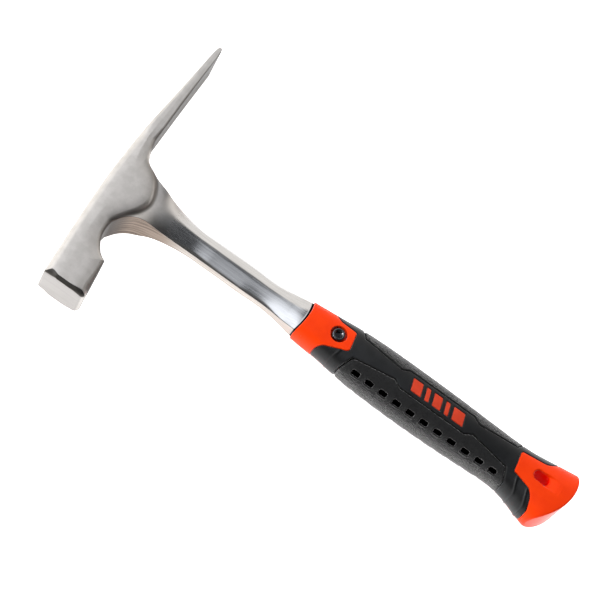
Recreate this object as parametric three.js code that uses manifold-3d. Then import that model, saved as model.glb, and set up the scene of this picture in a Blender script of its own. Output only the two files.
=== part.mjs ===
// Brick hammer, 320 mm long: one forging (head, neck and tang) in a two-colour moulded grip.
//
// Millimetres. The pieces are modelled with x from the back of the head (0) to the butt end, y from
// the striking face (negative) to the chisel (positive) with the handle's axis at y = 0, and z
// through the thickness with the mid-plane at z = 0. At the end the whole group is moved so that the
// hammer lies on its side on z = 0, with its box centred on x = 0 and y = 0.

import * as THREE from 'three';
import { mergeVertices } from 'three/addons/utils/BufferGeometryUtils.js';
import Module from 'manifold-3d';

const wasm = await Module();
wasm.setup();

// ---------------------------------------------------------------- driving dimensions

const GAP = 0.3; // clearance between neighbouring pieces

// head
const FACE_Y = -74.3; // plane of the striking face
const TIP_Y = 107; // cutting edge of the chisel
const CHEEK_HALF = 13.5; // half thickness between the two flat cheeks
const HEAD_EDGE = 2; // rounding of the head's long edges
const POLL_BACK_X = 5.4; // back side of the poll at the striking face
const POLL_FRONT_X = 32.8; // handle side of the poll at the striking face
const BLADE_ROOT_Y = 33; // where the cheeks end and the chisel begins
const BLADE_FRONT_X = 10.1; // handle side of the chisel at its root
const BLADE_BEVEL_Y = 103; // where the sharpening bevel begins
const BLADE_TIP_HALF = 15.5; // half width of the cutting edge
const BLADE_EDGE = 1.2; // chamfer of the chisel's long edges

// neck and tang: x, depth towards the chisel, depth towards the striking face, half width of the
// narrow edge faces, half thickness
const NECK_STATIONS = [
  [12, 18.0, 24.0, 12.5, 10.0],
  [19, 15.6, 23.4, 12.5, 10.0],
  [22, 14.4, 19.4, 12.4, 10.0],
  [27.6, 12.7, 14.6, 11.8, 10.0],
  [33, 11.6, 12.4, 10.2, 9.8],
  [38.6, 10.7, 11.0, 7.3, 9.1],
  [44.6, 10.0, 10.2, 5.1, 8.1],
  [52, 9.4, 9.5, 3.7, 7.1],
  [62, 8.9, 8.9, 2.7, 6.4],
  [76, 8.8, 8.8, 2.6, 6.1],
  [97, 8.8, 8.8, 2.6, 5.9],
  [118, 8.8, 8.8, 2.6, 6.0],
  [128, 9.5, 9.9, 3.4, 6.3],
  [137, 10.2, 10.8, 4.8, 6.6],
  [146, 10.2, 10.8, 4.8, 6.6],
  [150, 8.4, 8.4, 3.6, 4.6],
];
const CURVED_STATIONS = 14; // stations joined by a smooth curve, from the head
const CURVED_STEPS = 2;
const TANG_END_X = 281;
const TANG_END = [TANG_END_X, 6.4, 6.4, 3.0, 3.6];

// grip: x, middle in y, half depth in y, half thickness in z
const GRIP_STATIONS = [
  [134, -0.25, 12.1, 11.0],
  [139, -0.25, 12.35, 11.3],
  [147, -0.2, 13.0, 11.8],
  [156, 0, 13.7, 12.1],
  [166, -0.1, 14.9, 12.6],
  [178, -0.35, 15.85, 13.4],
  [194, -0.5, 16.25, 14.1],
  [216, -0.7, 16.3, 14.4],
  [240, -0.7, 15.8, 14.4],
  [262, -0.55, 14.95, 14.0],
  [277, -0.55, 14.65, 13.6],
  [288, -1.4, 15.9, 13.6],
  [300, -2.75, 19.05, 13.8],
  [311, -3.25, 21.3, 14.1],
  [326, -2.05, 22.35, 14.1],
];
const GRIP_ROUNDNESS = 2.4; // superellipse exponent of the grip's section
const SKIN = 3.2; // depth of the black mouldings over the orange core
const COLLAR_MOUTH_X = 138.9; // deepest point of the collar's scooped front edge
const COLLAR_MOUTH_RADIUS = 43;
const COLLAR_MOUTH_ARC = 0.6; // half angle of the scoop, past the collar's sides
const CORE_END_X = 288.6;

// butt end: a barrel-shaped face, square to the mid-plane
const BUTT_RADIUS = 34;
const BUTT_X = 320;
const BUTT_MIDDLE_Y = 4.5;
const BUTT_ARC = 1.35; // half angle of the arc, past the grip's sides

// tongues of orange that reach into the black along both sides of the grip
const COLLAR_TONGUE_LOW = 6.2; // reach of the collar's tongue towards the striking face
const COLLAR_TONGUE_HIGH = 7.4; // and towards the chisel
const CAP_TONGUE_HALF = 7;
const TONGUE_SLANT = 0.8; // how far each tongue's end leans from square, either side of the middle
const COLLAR_EDGE_X = 150.2; // collar's edge around the two narrow sides of the grip
const COLLAR_TONGUE_X = 168.2;
const CAP_TONGUE_X = 282.8;
const CAP_EDGE_X = 303.4;

// smooth black band between the two soft pads
const PAD_START_X = 172.9;
const PAD_END_X = 278.6;
const BAND_END_HALF = 7;
const BAND_WAIST_HALF = 3.4;
const PANEL_HALF = 6.1;
const PANEL_START_X = 204.4;
const PANEL_END_X = 248.4;
const PANEL_TAPER = 4.8;

// relief slots along the two shoulders of the striking-face pad
const SLOT_COUNT = 11;
const SLOT_FIRST_X = 179.4;
const SLOT_PITCH = 9.44;
const SLOT_LENGTH = 5.2;
const SLOT_WIDTH = 3.3;
const SLOT_DEPTH = 1.2;
const SLOT_Y = 13.3;
const SLOT_Z = 9.3;
const SLOT_TILT = 0.82; // radians from the z axis

// emblem: plain slanted bars that show through windows in the smooth band
const BAR_WIDTHS = [6.6, 2.6, 5.4, 2.6, 7.4];
const BAR_FIRST_X = 209;
const BAR_SPACE = 2.7;
const BAR_HALF = 3.9;
const BAR_LEAN = 1.1;
const BACKING_HALF = 4.9;
const BACKING_LOW = 11.8;
const BACKING_HIGH = 12.8;

// locking screw and sleeve nut, on one axis through collar and tang
const SCREW_X = 159;
const COUNTERBORE_RADIUS = 5;
const COUNTERBORE_FLOOR = 8.2;
const HEAD_RADIUS = 3.9;
const HEAD_TOP = 11.7;
const HEAD_CHAMFER = 0.6;
const SOCKET_RADIUS = 2.1;
const SOCKET_DEPTH = 1.9;
const SHANK_RADIUS = 2.5;
const SHANK_END = -6.4;
const SLEEVE_RADIUS = 3.5;
const SLEEVE_BORE_RADIUS = SHANK_RADIUS + GAP;
const SLEEVE_TOP = 7.6;
const SLEEVE_BORE_END = -7.2;

// lanyard slot through the cap, with a scooped ramp towards the butt on each side
const LANYARD_START_X = 293.8;
const LANYARD_END_X = 304.4;
const LANYARD_HALF = 3.4;
const SCOOP_LENGTH = 7.1;
const SCOOP_DEPTH = 3;
const SCOOP_HALF = 4.9;
const SCOOP_MOUTH_Z = 14.3; // just above the cap's side

// places outside the grip, where cutting solids begin and end
const PAST = 20;
const BIG_Y = 40;
const HEADWARD_X = 100;
const BUTTWARD_X = 340;

// ---------------------------------------------------------------- materials

const steelFinish = { color: 0xb9b6b2, roughness: 0.32, metalness: 1 };
const orangeFinish = { color: 0xf0411a, roughness: 0.42, metalness: 0 };
const hardBlackFinish = { color: 0x232426, roughness: 0.5, metalness: 0 };
const softBlackFinish = { color: 0x2b2c2e, roughness: 0.8, metalness: 0 };
const screwFinish = { color: 0x17181a, roughness: 0.35, metalness: 0.8 };

// ---------------------------------------------------------------- solids

function solid(geometry) {
  geometry.deleteAttribute('normal');
  geometry.deleteAttribute('uv');
  const merged = mergeVertices(geometry, 1e-4);
  const mesh = new wasm.Mesh({
    numProp: 3,
    vertProperties: new Float32Array(merged.attributes.position.array),
    triVerts: new Uint32Array(merged.index.array),
  });
  return new wasm.Manifold(mesh);
}

function named(name, body, finish) {
  const mesh = body.getMesh();
  const geometry = new THREE.BufferGeometry();
  geometry.setAttribute('position', new THREE.BufferAttribute(new Float32Array(mesh.vertProperties), 3));
  geometry.setIndex(new THREE.BufferAttribute(new Uint32Array(mesh.triVerts), 1));
  geometry.computeVertexNormals();
  const piece = new THREE.Mesh(geometry, new THREE.MeshStandardMaterial(finish));
  piece.name = name;
  return piece;
}

// A closed solid through rings of equal point count, each ring running the same way round.
function loft(rings) {
  const count = rings[0].length;
  const positions = [];
  const indices = [];
  for (const ring of rings) {
    for (const point of ring) positions.push(point.x, point.y, point.z);
  }
  for (let r = 0; r < rings.length - 1; r++) {
    for (let i = 0; i < count; i++) {
      const a = r * count + i;
      const b = r * count + ((i + 1) % count);
      indices.push(a, b, b + count, a, b + count, a + count);
    }
  }
  for (const [r, flip] of [[0, true], [rings.length - 1, false]]) {
    const middle = new THREE.Vector3();
    for (const point of rings[r]) middle.addScaledVector(point, 1 / count);
    const centre = positions.length / 3;
    positions.push(middle.x, middle.y, middle.z);
    for (let i = 0; i < count; i++) {
      const a = r * count + i;
      const b = r * count + ((i + 1) % count);
      indices.push(centre, flip ? b : a, flip ? a : b);
    }
  }
  const geometry = new THREE.BufferGeometry();
  geometry.setAttribute('position', new THREE.Float32BufferAttribute(positions, 3));
  geometry.setIndex(indices);
  return solid(geometry);
}

// A straight prism of an x-y outline, between two heights.
function prism(outline, low, high) {
  const shape = outline instanceof THREE.Shape ? outline : new THREE.Shape(outline);
  const geometry = new THREE.ExtrudeGeometry(shape, {
    depth: high - low,
    bevelEnabled: false,
    curveSegments: 8,
  });
  geometry.translate(0, 0, low);
  return solid(geometry);
}

function cylinder(radius, low, high, sides = 28) {
  const geometry = new THREE.CylinderGeometry(radius, radius, high - low, sides);
  geometry.rotateX(Math.PI / 2);
  geometry.translate(SCREW_X, 0, (low + high) / 2);
  return solid(geometry);
}

const mirrored = (outline) => outline.map((p) => new THREE.Vector2(p.x, -p.y)).reverse();
const points = (pairs) => pairs.map(([x, y]) => new THREE.Vector2(x, y));

// Stations are rows of numbers that begin with x; this smooths them with extra rows between.
function refined(stations, steps) {
  const rows = [];
  for (let i = 0; i < stations.length - 1; i++) {
    const before = stations[Math.max(i - 1, 0)];
    const from = stations[i];
    const to = stations[i + 1];
    const after = stations[Math.min(i + 2, stations.length - 1)];
    for (let s = 0; s < steps; s++) {
      const t = s / steps;
      rows.push(from.map((value, k) => {
        const span = to[0] - from[0];
        const slopeIn = ((to[k] - before[k]) / (to[0] - before[0])) * span;
        const slopeOut = ((after[k] - from[k]) / (after[0] - from[0])) * span;
        const t2 = t * t;
        const t3 = t2 * t;
        return (2 * t3 - 3 * t2 + 1) * value + (t3 - 2 * t2 + t) * slopeIn
          + (3 * t2 - 2 * t3) * to[k] + (t3 - t2) * slopeOut;
      }));
    }
  }
  rows.push(stations[stations.length - 1]);
  return rows;
}

// ---------------------------------------------------------------- forging

// Poll and cheeks: the outline seen from the side, from the striking face round to the throat.
function headOutline() {
  const outline = new THREE.Shape();
  outline.moveTo(POLL_BACK_X, FACE_Y);
  outline.splineThru(points([[2.2, -36], [0.4, -6], [0, 12], [0.3, BLADE_ROOT_Y]]));
  outline.lineTo(BLADE_FRONT_X, BLADE_ROOT_Y);
  outline.splineThru(points([[14.6, 20.2], [22.2, 14.2], [27.2, 6.6], [29.3, -1.5], [27, -10.2]]));
  outline.splineThru(points([[22.2, -18.2], [18.6, -26.4], [19.3, -36.5], [23.8, -44.4], [28.9, -47.9]]));
  outline.lineTo(POLL_FRONT_X, FACE_Y);
  return outline;
}

function pollAndCheeks() {
  const geometry = new THREE.ExtrudeGeometry(headOutline(), {
    depth: 2 * (CHEEK_HALF - HEAD_EDGE),
    bevelEnabled: true,
    bevelThickness: HEAD_EDGE,
    bevelSize: HEAD_EDGE,
    bevelOffset: -HEAD_EDGE,
    bevelSegments: 2,
    curveSegments: 3,
  });
  geometry.translate(0, 0, HEAD_EDGE - CHEEK_HALF);
  return solid(geometry);
}

// Chisel: rings of a chamfered rectangle from inside the cheeks to the cutting edge.
function chisel() {
  const ring = (y, back, front, half, edge) => [
    [back, -half + edge], [back, half - edge], [back + edge, half], [front - edge, half],
    [front, half - edge], [front, -half + edge], [front - edge, -half], [back + edge, -half],
  ].map(([x, z]) => new THREE.Vector3(x, y, z));
  const half = (y) => THREE.MathUtils.mapLinear(y, BLADE_ROOT_Y, TIP_Y, CHEEK_HALF, BLADE_TIP_HALF);
  const tipEdge = 0.3;
  return loft([
    ring(BLADE_ROOT_Y - 6, 0.3, BLADE_FRONT_X, CHEEK_HALF, HEAD_EDGE),
    ring(BLADE_ROOT_Y, 0.3, BLADE_FRONT_X, CHEEK_HALF, HEAD_EDGE),
    ring(46, 1.2, 9.8, half(46), BLADE_EDGE),
    ring(62, 2.3, 9.4, half(62), BLADE_EDGE),
    ring(82, 3.7, 9.0, half(82), BLADE_EDGE),
    ring(BLADE_BEVEL_Y, 5.2, 8.7, half(BLADE_BEVEL_Y), BLADE_EDGE),
    ring(TIP_Y, 6.0, 8.2, BLADE_TIP_HALF, tipEdge),
  ]);
}

// Neck or tang section: two narrow flat edge faces joined by bulging sides.
function neckRing([x, chiselSide, faceSide, edge, thick], grow = 0) {
  const steps = 6;
  const ring = [];
  for (const side of [1, -1]) {
    for (let i = 0; i <= steps; i++) {
      const t = side * (1 - (2 * i) / steps);
      const depth = t > 0 ? chiselSide : faceSide;
      const z = edge + (thick - edge) * (1 - t * t) + grow;
      ring.push(new THREE.Vector3(x, t * (depth + grow), side * z));
    }
  }
  return ring;
}

const neckRows = [
  ...refined(NECK_STATIONS.slice(0, CURVED_STATIONS), CURVED_STEPS),
  ...NECK_STATIONS.slice(CURVED_STATIONS),
  TANG_END,
];

function forging() {
  const neck = loft(neckRows.map((row) => neckRing(row)));
  return pollAndCheeks().add(chisel()).add(neck).subtract(cylinder(SLEEVE_RADIUS + GAP, -PAST, PAST));
}

// ---------------------------------------------------------------- grip

function gripRing([x, middle, depth, thick], inset, sides) {
  const ring = [];
  const power = 2 / GRIP_ROUNDNESS;
  for (let i = 0; i < sides; i++) {
    const angle = (2 * Math.PI * (i + 0.5)) / sides;
    const c = Math.cos(angle);
    const s = Math.sin(angle);
    const y = middle + Math.sign(c) * (depth - inset) * Math.abs(c) ** power;
    const z = Math.sign(s) * (thick - inset) * Math.abs(s) ** power;
    ring.push(new THREE.Vector3(x, y, z));
  }
  return ring;
}

const envelope = loft(GRIP_STATIONS.map((row) => gripRing(row, 0, 32)));

// The grip's outer form moved inwards, ending square at x.
function innerForm(inset, end) {
  const rows = GRIP_STATIONS.filter((row) => row[0] < end - 2);
  const last = [...rows[rows.length - 1]];
  last[0] = end;
  return loft([...rows, last].map((row) => gripRing(row, inset, 24)));
}

const coreForm = innerForm(SKIN, CORE_END_X);
const coreRoom = innerForm(SKIN - GAP, CORE_END_X + GAP);

// Orange collar, seen from the side: everything on the head's side of this outline.
function collarOutline(gap) {
  const low = -COLLAR_TONGUE_LOW - gap;
  const high = COLLAR_TONGUE_HIGH + gap;
  const end = COLLAR_TONGUE_X + gap;
  const edge = COLLAR_EDGE_X + gap;
  const outline = new THREE.Shape();
  outline.moveTo(HEADWARD_X, -BIG_Y);
  outline.lineTo(edge - 0.6, -BIG_Y);
  outline.lineTo(edge, -15.5 - gap);
  outline.quadraticCurveTo(edge + 3, low - 3.4, edge + 7.6, low - 2.9);
  outline.lineTo(end - 1.4, low);
  outline.quadraticCurveTo(end + TONGUE_SLANT, low + 0.7, end + TONGUE_SLANT, low + 2.2);
  outline.lineTo(end - TONGUE_SLANT, high - 2);
  outline.quadraticCurveTo(end - TONGUE_SLANT, high, end - 3, high);
  outline.lineTo(edge + 7.3, high + 0.6);
  outline.quadraticCurveTo(edge + 3.6, high + 1, edge, 15.5 + gap);
  outline.lineTo(edge - 0.6, BIG_Y);
  outline.lineTo(HEADWARD_X, BIG_Y);
  return outline;
}

// Orange butt cap, seen from the side: everything on the butt's side of this outline.
function capOutline(gap) {
  const half = CAP_TONGUE_HALF + gap;
  const end = CAP_TONGUE_X - gap;
  const edge = CAP_EDGE_X - gap;
  const outline = new THREE.Shape();
  outline.moveTo(BUTTWARD_X, BIG_Y);
  outline.lineTo(edge + 3.1, BIG_Y);
  outline.lineTo(edge + 2.1, 17 + gap);
  outline.quadraticCurveTo(edge - 2.2, 9.8 + gap, edge - 6.5, 9 + gap);
  outline.lineTo(end + 1.8 - TONGUE_SLANT, half);
  outline.quadraticCurveTo(end - TONGUE_SLANT, half, end - TONGUE_SLANT, half - 2);
  outline.lineTo(end + TONGUE_SLANT, -half + 2);
  outline.quadraticCurveTo(end + TONGUE_SLANT, -half, end + 1.8 + TONGUE_SLANT, -half);
  outline.lineTo(edge - 10.7, -9 - gap);
  outline.quadraticCurveTo(edge - 6.2, -10 - gap, edge - 3.7, -14.5 - gap);
  outline.lineTo(edge - 1.2, -20 - gap);
  outline.lineTo(edge - 2.2, -BIG_Y);
  outline.lineTo(BUTTWARD_X, -BIG_Y);
  return outline;
}

// Soft pad on the striking-face side, seen from the side of the hammer.
function padOutline(gap) {
  const start = PAD_START_X + gap;
  const end = PAD_END_X - gap;
  return points([
    [start - 9, -BIG_Y],
    [start - 5.2, -17],
    [start, -BAND_END_HALF - gap],
    [PANEL_START_X - PANEL_TAPER, -BAND_WAIST_HALF - gap],
    [PANEL_START_X, -PANEL_HALF - gap],
    [PANEL_END_X, -PANEL_HALF - gap],
    [PANEL_END_X + PANEL_TAPER, -BAND_WAIST_HALF - gap],
    [end, -BAND_END_HALF - gap],
    [end + 4.2, -14],
    [end + 4.6, -BIG_Y],
  ]);
}

// Shallow slots along both shoulders of the striking-face pad.
function padSlots() {
  const cutters = [];
  for (let i = 0; i < SLOT_COUNT; i++) {
    for (const side of [1, -1]) {
      const geometry = new THREE.BoxGeometry(SLOT_LENGTH, SLOT_WIDTH, 2 * SLOT_DEPTH);
      geometry.rotateX(side * SLOT_TILT);
      geometry.translate(SLOT_FIRST_X + i * SLOT_PITCH, -SLOT_Y, side * SLOT_Z);
      cutters.push(solid(geometry));
    }
  }
  return wasm.Manifold.union(cutters);
}

// A soft pad; place moves its outline to the pad's side of the grip.
function softPad(place) {
  return envelope
    .intersect(place(prism(padOutline(GAP), -PAST, PAST)))
    .subtract(coreRoom);
}

// Emblem bars as seen from the side, grown by a clearance.
function barOutlines(gap) {
  let x = BAR_FIRST_X;
  return BAR_WIDTHS.map((width) => {
    const left = x - gap;
    const right = x + width + gap;
    const half = BAR_HALF + gap;
    x += width + BAR_SPACE;
    return points([
      [left + BAR_LEAN, -half],
      [right + BAR_LEAN, -half],
      [right - BAR_LEAN, half],
      [left - BAR_LEAN, half],
    ]);
  });
}

function backing(gap) {
  const left = BAR_FIRST_X - BAR_LEAN - 1.2 - gap;
  const right = PANEL_END_X - 3 + gap;
  const half = BACKING_HALF + gap;
  const outline = points([[left, -half], [right, -half], [right, half], [left, half]]);
  return prism(outline, BACKING_LOW - 4 * gap, BACKING_HIGH + gap);
}

function emblemInlay(place) {
  const bars = barOutlines(0).map((outline) => prism(outline, BACKING_LOW, PAST));
  return place(wasm.Manifold.union([backing(0), ...bars])).intersect(envelope);
}

function emblemRoom() {
  const windows = barOutlines(GAP).map((outline) => prism(outline, BACKING_LOW, PAST));
  return wasm.Manifold.union([backing(GAP), ...windows]);
}

const inPlace = (body) => body;
const turnedOver = (body) => body.rotate([180, 0, 0]);
const acrossMidline = (body) => body.mirror([0, 1, 0]);
const throughMidplane = (body) => body.mirror([0, 0, 1]);

function gripShell() {
  const pad = prism(padOutline(0), -PAST, PAST);
  return envelope
    .subtract(prism(collarOutline(GAP), -PAST, PAST))
    .subtract(prism(capOutline(GAP), -PAST, PAST))
    .subtract(pad)
    .subtract(acrossMidline(pad))
    .subtract(coreRoom)
    .subtract(emblemRoom())
    .subtract(turnedOver(emblemRoom()));
}

function gripCore() {
  const mouth = new THREE.Shape();
  mouth.absarc(
    COLLAR_MOUTH_X - COLLAR_MOUTH_RADIUS, 0, COLLAR_MOUTH_RADIUS, -COLLAR_MOUTH_ARC, COLLAR_MOUTH_ARC,
  );
  mouth.lineTo(HEADWARD_X - PAST, 0);
  const tangRows = neckRows.filter((row) => row[0] > 125 && row[0] < TANG_END_X);
  const pocketEnd = [TANG_END_X + GAP, ...TANG_END.slice(1)];
  const pocket = loft([...tangRows, pocketEnd].map((row) => neckRing(row, GAP)));
  return envelope
    .intersect(prism(collarOutline(0), -PAST, PAST))
    .add(coreForm)
    .subtract(prism(mouth, -PAST, PAST))
    .subtract(pocket)
    .subtract(cylinder(SLEEVE_RADIUS + GAP, -PAST, PAST))
    .subtract(cylinder(COUNTERBORE_RADIUS, COUNTERBORE_FLOOR, PAST))
    .subtract(cylinder(COUNTERBORE_RADIUS, -PAST, -COUNTERBORE_FLOOR));
}

// Slot and ramp on the upper side of the cap; the ramp falls from the surface into the slot.
function lanyardCut() {
  const slot = new THREE.Shape();
  const left = LANYARD_START_X + LANYARD_HALF;
  const right = LANYARD_END_X - LANYARD_HALF;
  slot.absarc(right, 0, LANYARD_HALF, -Math.PI / 2, Math.PI / 2);
  slot.absarc(left, 0, LANYARD_HALF, Math.PI / 2, 1.5 * Math.PI);
  const ramp = [-SCOOP_HALF, SCOOP_HALF].map((y) => [
    new THREE.Vector3(right, y, SCOOP_MOUTH_Z - SCOOP_DEPTH),
    new THREE.Vector3(LANYARD_END_X + SCOOP_LENGTH, y, SCOOP_MOUTH_Z),
    new THREE.Vector3(LANYARD_END_X + SCOOP_LENGTH, y, PAST),
    new THREE.Vector3(right, y, PAST),
  ].reverse());
  return prism(slot, -PAST, PAST).add(loft(ramp));
}

function buttCap() {
  const end = new THREE.Shape();
  end.absarc(BUTT_X - BUTT_RADIUS, BUTT_MIDDLE_Y, BUTT_RADIUS, -BUTT_ARC, BUTT_ARC);
  end.lineTo(HEADWARD_X, BIG_Y);
  end.lineTo(HEADWARD_X, -BIG_Y);
  const cut = lanyardCut();
  return envelope
    .intersect(prism(capOutline(0), -PAST, PAST))
    .intersect(prism(end, -PAST, PAST))
    .subtract(coreRoom)
    .subtract(cut)
    .subtract(throughMidplane(cut));
}

// ---------------------------------------------------------------- fastener

function turned(profile, sides = 28) {
  const geometry = new THREE.LatheGeometry(points(profile), sides);
  geometry.rotateX(Math.PI / 2);
  geometry.translate(SCREW_X, 0, 0);
  return solid(geometry);
}

const SEAT = COUNTERBORE_FLOOR + GAP;

function lockingScrew() {
  const body = turned([
    [0, SHANK_END],
    [SHANK_RADIUS, SHANK_END],
    [SHANK_RADIUS, SEAT],
    [HEAD_RADIUS, SEAT],
    [HEAD_RADIUS, HEAD_TOP - HEAD_CHAMFER],
    [HEAD_RADIUS - HEAD_CHAMFER, HEAD_TOP],
    [0, HEAD_TOP],
  ]);
  return body.subtract(cylinder(SOCKET_RADIUS, HEAD_TOP - SOCKET_DEPTH, PAST, 6));
}

function sleeveNut() {
  const body = turned([
    [0, -HEAD_TOP],
    [HEAD_RADIUS - HEAD_CHAMFER, -HEAD_TOP],
    [HEAD_RADIUS, -HEAD_TOP + HEAD_CHAMFER],
    [HEAD_RADIUS, -SEAT],
    [SLEEVE_RADIUS, -SEAT],
    [SLEEVE_RADIUS, SLEEVE_TOP],
    [SLEEVE_BORE_RADIUS, SLEEVE_TOP],
    [SLEEVE_BORE_RADIUS, SLEEVE_BORE_END],
    [0, SLEEVE_BORE_END],
  ]);
  return body.subtract(cylinder(SOCKET_RADIUS, -PAST, SOCKET_DEPTH - HEAD_TOP, 6));
}

// ---------------------------------------------------------------- assembly

const hammer = new THREE.Group();
hammer.add(
  named('forged_head_tang', forging(), steelFinish),
  named('grip_core', gripCore(), orangeFinish),
  named('butt_cap', buttCap(), orangeFinish),
  named('grip_shell', gripShell(), hardBlackFinish),
  named('soft_pad_striking_side', softPad(inPlace).subtract(padSlots()), softBlackFinish),
  named('soft_pad_chisel_side', softPad(acrossMidline), softBlackFinish),
  named('emblem_inlay_top', emblemInlay(inPlace), orangeFinish),
  named('emblem_inlay_bottom', emblemInlay(turnedOver), orangeFinish),
  named('locking_screw', lockingScrew(), screwFinish),
  named('sleeve_nut', sleeveNut(), screwFinish),
);

const box = new THREE.Box3().setFromObject(hammer);
const middle = box.getCenter(new THREE.Vector3());
hammer.position.set(-middle.x, -middle.y, -box.min.z);

export default hammer;
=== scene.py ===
import math

import bpy
import numpy as np
from mathutils import Matrix, Vector


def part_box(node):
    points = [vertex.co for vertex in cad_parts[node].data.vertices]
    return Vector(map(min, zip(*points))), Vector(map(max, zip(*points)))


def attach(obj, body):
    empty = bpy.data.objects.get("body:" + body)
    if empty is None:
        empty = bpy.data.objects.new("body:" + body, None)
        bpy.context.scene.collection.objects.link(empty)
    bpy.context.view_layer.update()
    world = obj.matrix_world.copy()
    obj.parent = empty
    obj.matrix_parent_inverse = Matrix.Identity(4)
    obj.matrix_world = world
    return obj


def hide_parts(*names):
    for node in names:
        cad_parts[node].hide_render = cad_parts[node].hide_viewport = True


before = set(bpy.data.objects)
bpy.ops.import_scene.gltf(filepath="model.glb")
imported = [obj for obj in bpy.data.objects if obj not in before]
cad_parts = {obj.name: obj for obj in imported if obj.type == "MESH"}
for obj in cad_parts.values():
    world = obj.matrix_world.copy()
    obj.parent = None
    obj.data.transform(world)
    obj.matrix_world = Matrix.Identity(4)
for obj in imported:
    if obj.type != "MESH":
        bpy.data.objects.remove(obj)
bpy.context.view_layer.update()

# Brick hammer. Every piece is described by a signed distance in the hammer's own millimetres: x from
# the back of the head (0) to the butt end, y from the striking face (negative) to the chisel, z from
# the mid-plane. solid_mesh() turns each description into a mesh, and add_piece() places it in the
# frame's metres.

MM = 0.001
LENGTH = 320.0
FACE_Y = -74.3
MOUTH_X = 138.9
MOUTH_RADIUS = 43.0
head_low, head_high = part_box("forged_head_tang")
_, cap_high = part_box("butt_cap")
ORIGIN = np.array([
    cap_high.x - LENGTH * MM,
    head_low.y - FACE_Y * MM,
    (head_low.z + head_high.z) / 2,
])


# ---------------------------------------------------------------- curves and stations

def spline(points, steps=8):
    """Points along a uniform Catmull-Rom curve, without its last point."""
    p = np.array(points, float)
    out = []
    for i in range(len(p) - 1):
        a, b, c, d = p[max(i - 1, 0)], p[i], p[i + 1], p[min(i + 2, len(p) - 1)]
        for s in range(steps):
            t = s / steps
            out.append(0.5 * (2 * b + (c - a) * t + (2 * a - 5 * b + 4 * c - d) * t * t
                              + (3 * b - a - 3 * c + d) * t ** 3))
    return out


def bend(a, b, c, steps=6):
    """Points along a quadratic curve from a to c, pulled towards b."""
    a, b, c = (np.array(p, float) for p in (a, b, c))
    return [a * (1 - t) ** 2 + 2 * b * t * (1 - t) + c * t * t for t in np.linspace(0, 1, steps + 1)]


class Stations:
    """Rows of numbers that begin with x, joined by smooth curves."""

    def __init__(self, rows):
        rows = np.array(rows, float)
        self.x, self.values = rows[:, 0], rows[:, 1:]
        self.slopes = np.gradient(self.values, self.x, axis=0)

    def at(self, x):
        x = np.clip(x, self.x[0], self.x[-1])
        i = np.clip(np.searchsorted(self.x, x, side="right") - 1, 0, len(self.x) - 2)
        span = self.x[i + 1] - self.x[i]
        t = (x - self.x[i]) / span
        weights = (
            2 * t ** 3 - 3 * t ** 2 + 1,
            (t ** 3 - 2 * t ** 2 + t) * span,
            3 * t ** 2 - 2 * t ** 3,
            (t ** 3 - t ** 2) * span,
        )
        columns = []
        for k in range(self.values.shape[1]):
            v, m = self.values[:, k], self.slopes[:, k]
            value = weights[0] * v[i] + weights[1] * m[i] + weights[2] * v[i + 1] + weights[3] * m[i + 1]
            columns.append(value.astype(x.dtype))
        return columns


def smoothstep(low, high, value):
    t = np.clip((value - low) / (high - low), 0, 1)
    return t * t * (3 - 2 * t)


# ---------------------------------------------------------------- distances

def outline_distance(outline, x, y):
    """Signed distance in the x-y plane to a closed outline, negative inside."""
    shape = np.broadcast(x, y).shape
    best = np.full(shape, 1e9, np.result_type(x, y))
    inside = np.zeros(shape, bool)
    corners = np.array(outline, float)
    for (x0, y0), (x1, y1) in zip(corners, np.roll(corners, -1, axis=0)):
        ex, ey = float(x1 - x0), float(y1 - y0)
        size = ex * ex + ey * ey
        if size < 1e-9:
            continue
        wx, wy = x - float(x0), y - float(y0)
        t = np.clip((wx * ex + wy * ey) / size, 0, 1)
        best = np.minimum(best, (wx - t * ex) ** 2 + (wy - t * ey) ** 2)
        if abs(ey) > 1e-9:
            inside ^= ((y0 > y) != (y1 > y)) & (wx < wy * (ex / ey))
    return np.where(inside, -1, 1) * np.sqrt(best)


def both(a, b, r):
    """Where two solids overlap, with a rounded edge."""
    return np.minimum(np.maximum(a, b), -r) + np.hypot(np.maximum(a + r, 0), np.maximum(b + r, 0))


def without(a, b, r):
    """The first solid less the second, with a rounded rim."""
    return both(a, -b, r)


def blended(a, b, r):
    """Two solids joined by a soft fillet."""
    h = np.maximum(r - np.abs(a - b), 0) / r
    return np.minimum(a, b) - h * h * r * 0.25


# ---------------------------------------------------------------- meshing

CORNERS = np.array([(i, j, k) for i in (0, 1) for j in (0, 1) for k in (0, 1)])
CELL_EDGES = [(a, b) for a in CORNERS for b in CORNERS if (b - a).sum() == 1 and ((b - a) >= 0).all()]


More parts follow.
